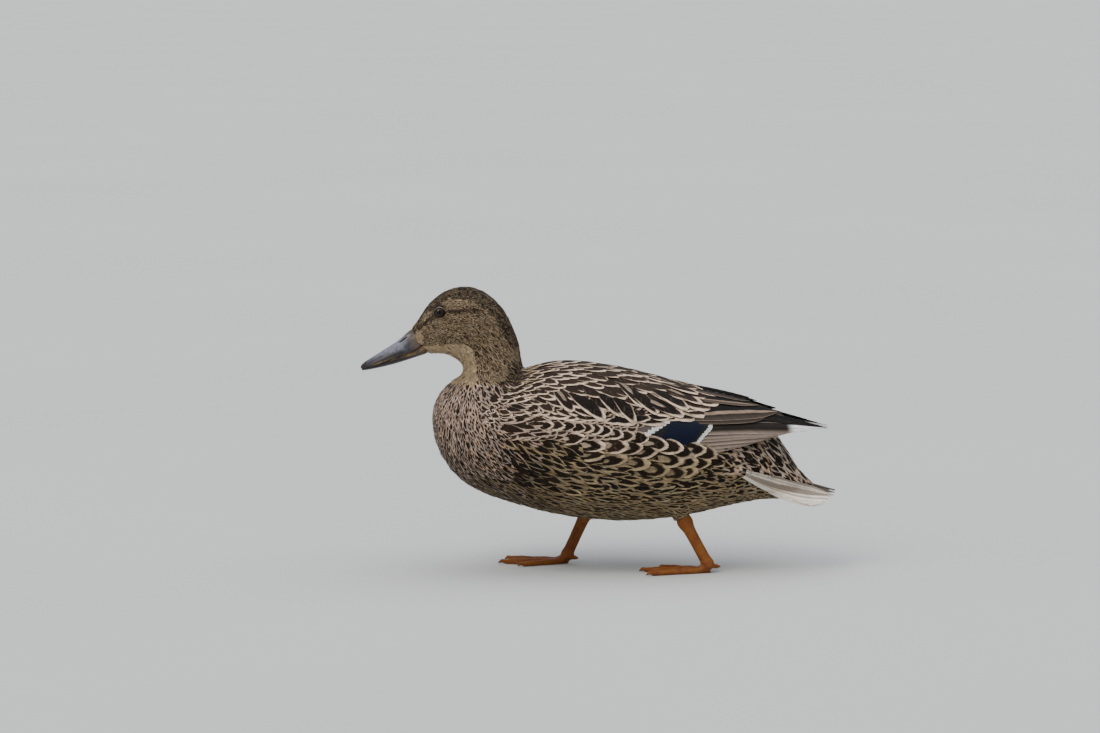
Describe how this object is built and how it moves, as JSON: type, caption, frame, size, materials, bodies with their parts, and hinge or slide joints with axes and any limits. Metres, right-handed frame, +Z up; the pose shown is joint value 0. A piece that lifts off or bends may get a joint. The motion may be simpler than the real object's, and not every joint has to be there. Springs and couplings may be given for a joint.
{
  "type": "female mallard duck",
  "caption": "Life-size still model of a female mallard in mid stride, left leg back and right leg forward, standing on its webbed feet.",
  "frame": {"origin": "on the floor, under the middle of the bird's bounding box", "axes": "+X towards the tail (the bill points to -X), +Y towards the bird's right side, +Z up"},
  "size_m": [0.3799, 0.129, 0.2273],
  "materials": {
    "body_plumage": "matte feathers, brown with buff edges",
    "head_plumage": "matte, finely streaked feathers",
    "wing_feathers": "satin feathers, dark brown with buff edges and a blue patch",
    "tail_feathers": "satin feathers, pale buff with brown",
    "leg_skin": "scaled orange skin, satin",
    "bill": "horn, slate grey with an orange edge, satin",
    "eye": "clear gloss over dark brown"
  },
  "bodies": {
    "root": {"trunk": "body_plumage", "neck": "head_plumage", "head": "head_plumage", "wing_left": "wing_feathers", "wing_right": "wing_feathers", "tail": "tail_feathers", "thigh_left": "body_plumage", "thigh_right": "body_plumage", "shank_left": "leg_skin", "shank_right": "leg_skin", "foot_left": "leg_skin", "foot_right": "leg_skin", "bill_upper": "bill", "bill_lower": "bill", "eye_left": "eye", "eye_right": "eye"}
  },
  "joints": []
}
